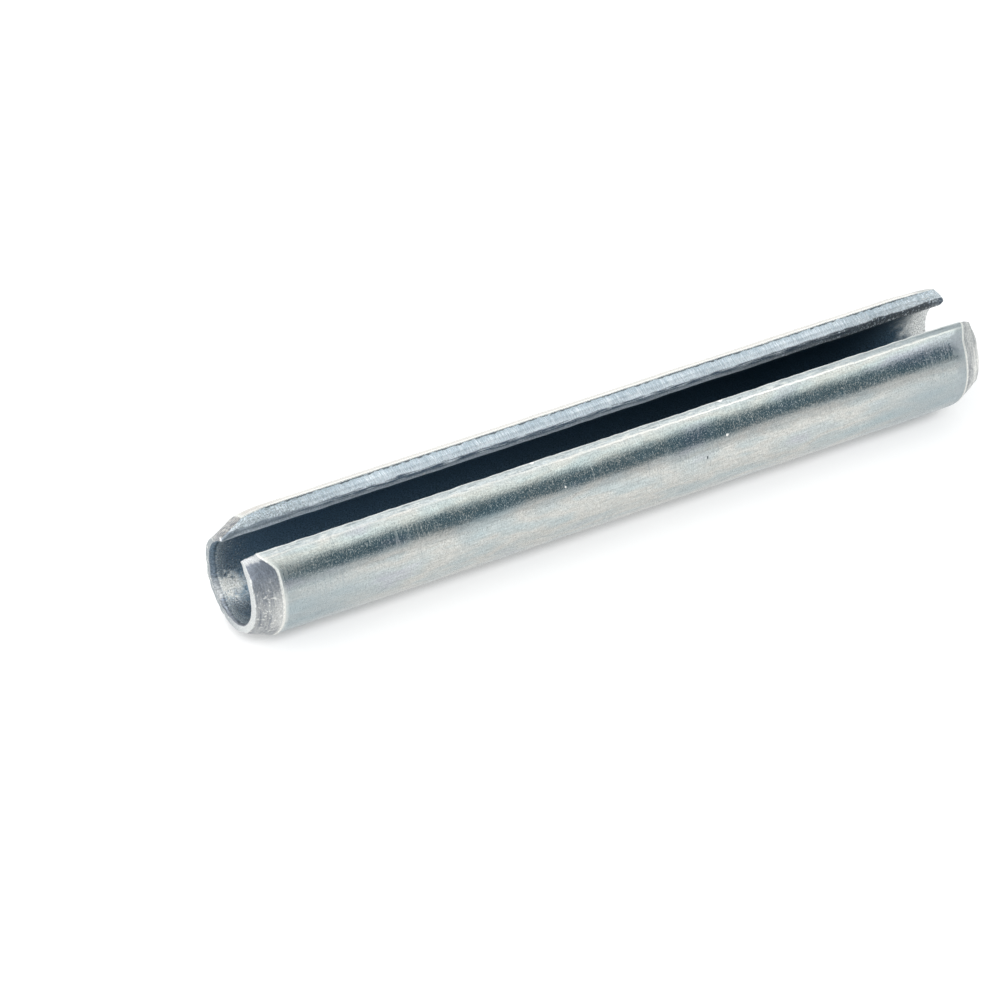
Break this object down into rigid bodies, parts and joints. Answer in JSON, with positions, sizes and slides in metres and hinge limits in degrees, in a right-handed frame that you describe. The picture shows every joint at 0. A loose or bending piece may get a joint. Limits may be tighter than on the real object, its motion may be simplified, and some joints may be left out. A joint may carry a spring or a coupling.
{
  "type": "slotted spring pin",
  "caption": "Slotted spring pin of zinc-plated steel: a strip rolled into an open tube, with a lengthwise slot and tapered ends, for pressing into a drilled hole.",
  "frame": {"origin": "on the pin's axis, halfway along its length", "axes": "+X along the axis, which both ends share; +Z out through the slot, so the pin lies as it comes to rest; +Y towards the lip whose inner corner is rolled over"},
  "size_m": [0.055, 0.0084, 0.0081],
  "materials": {
    "zinc_plated_steel": "zinc plated, clear blue passivate, satin"
  },
  "bodies": {
    "root": {"spring_pin": "zinc_plated_steel"}
  },
  "joints": []
}
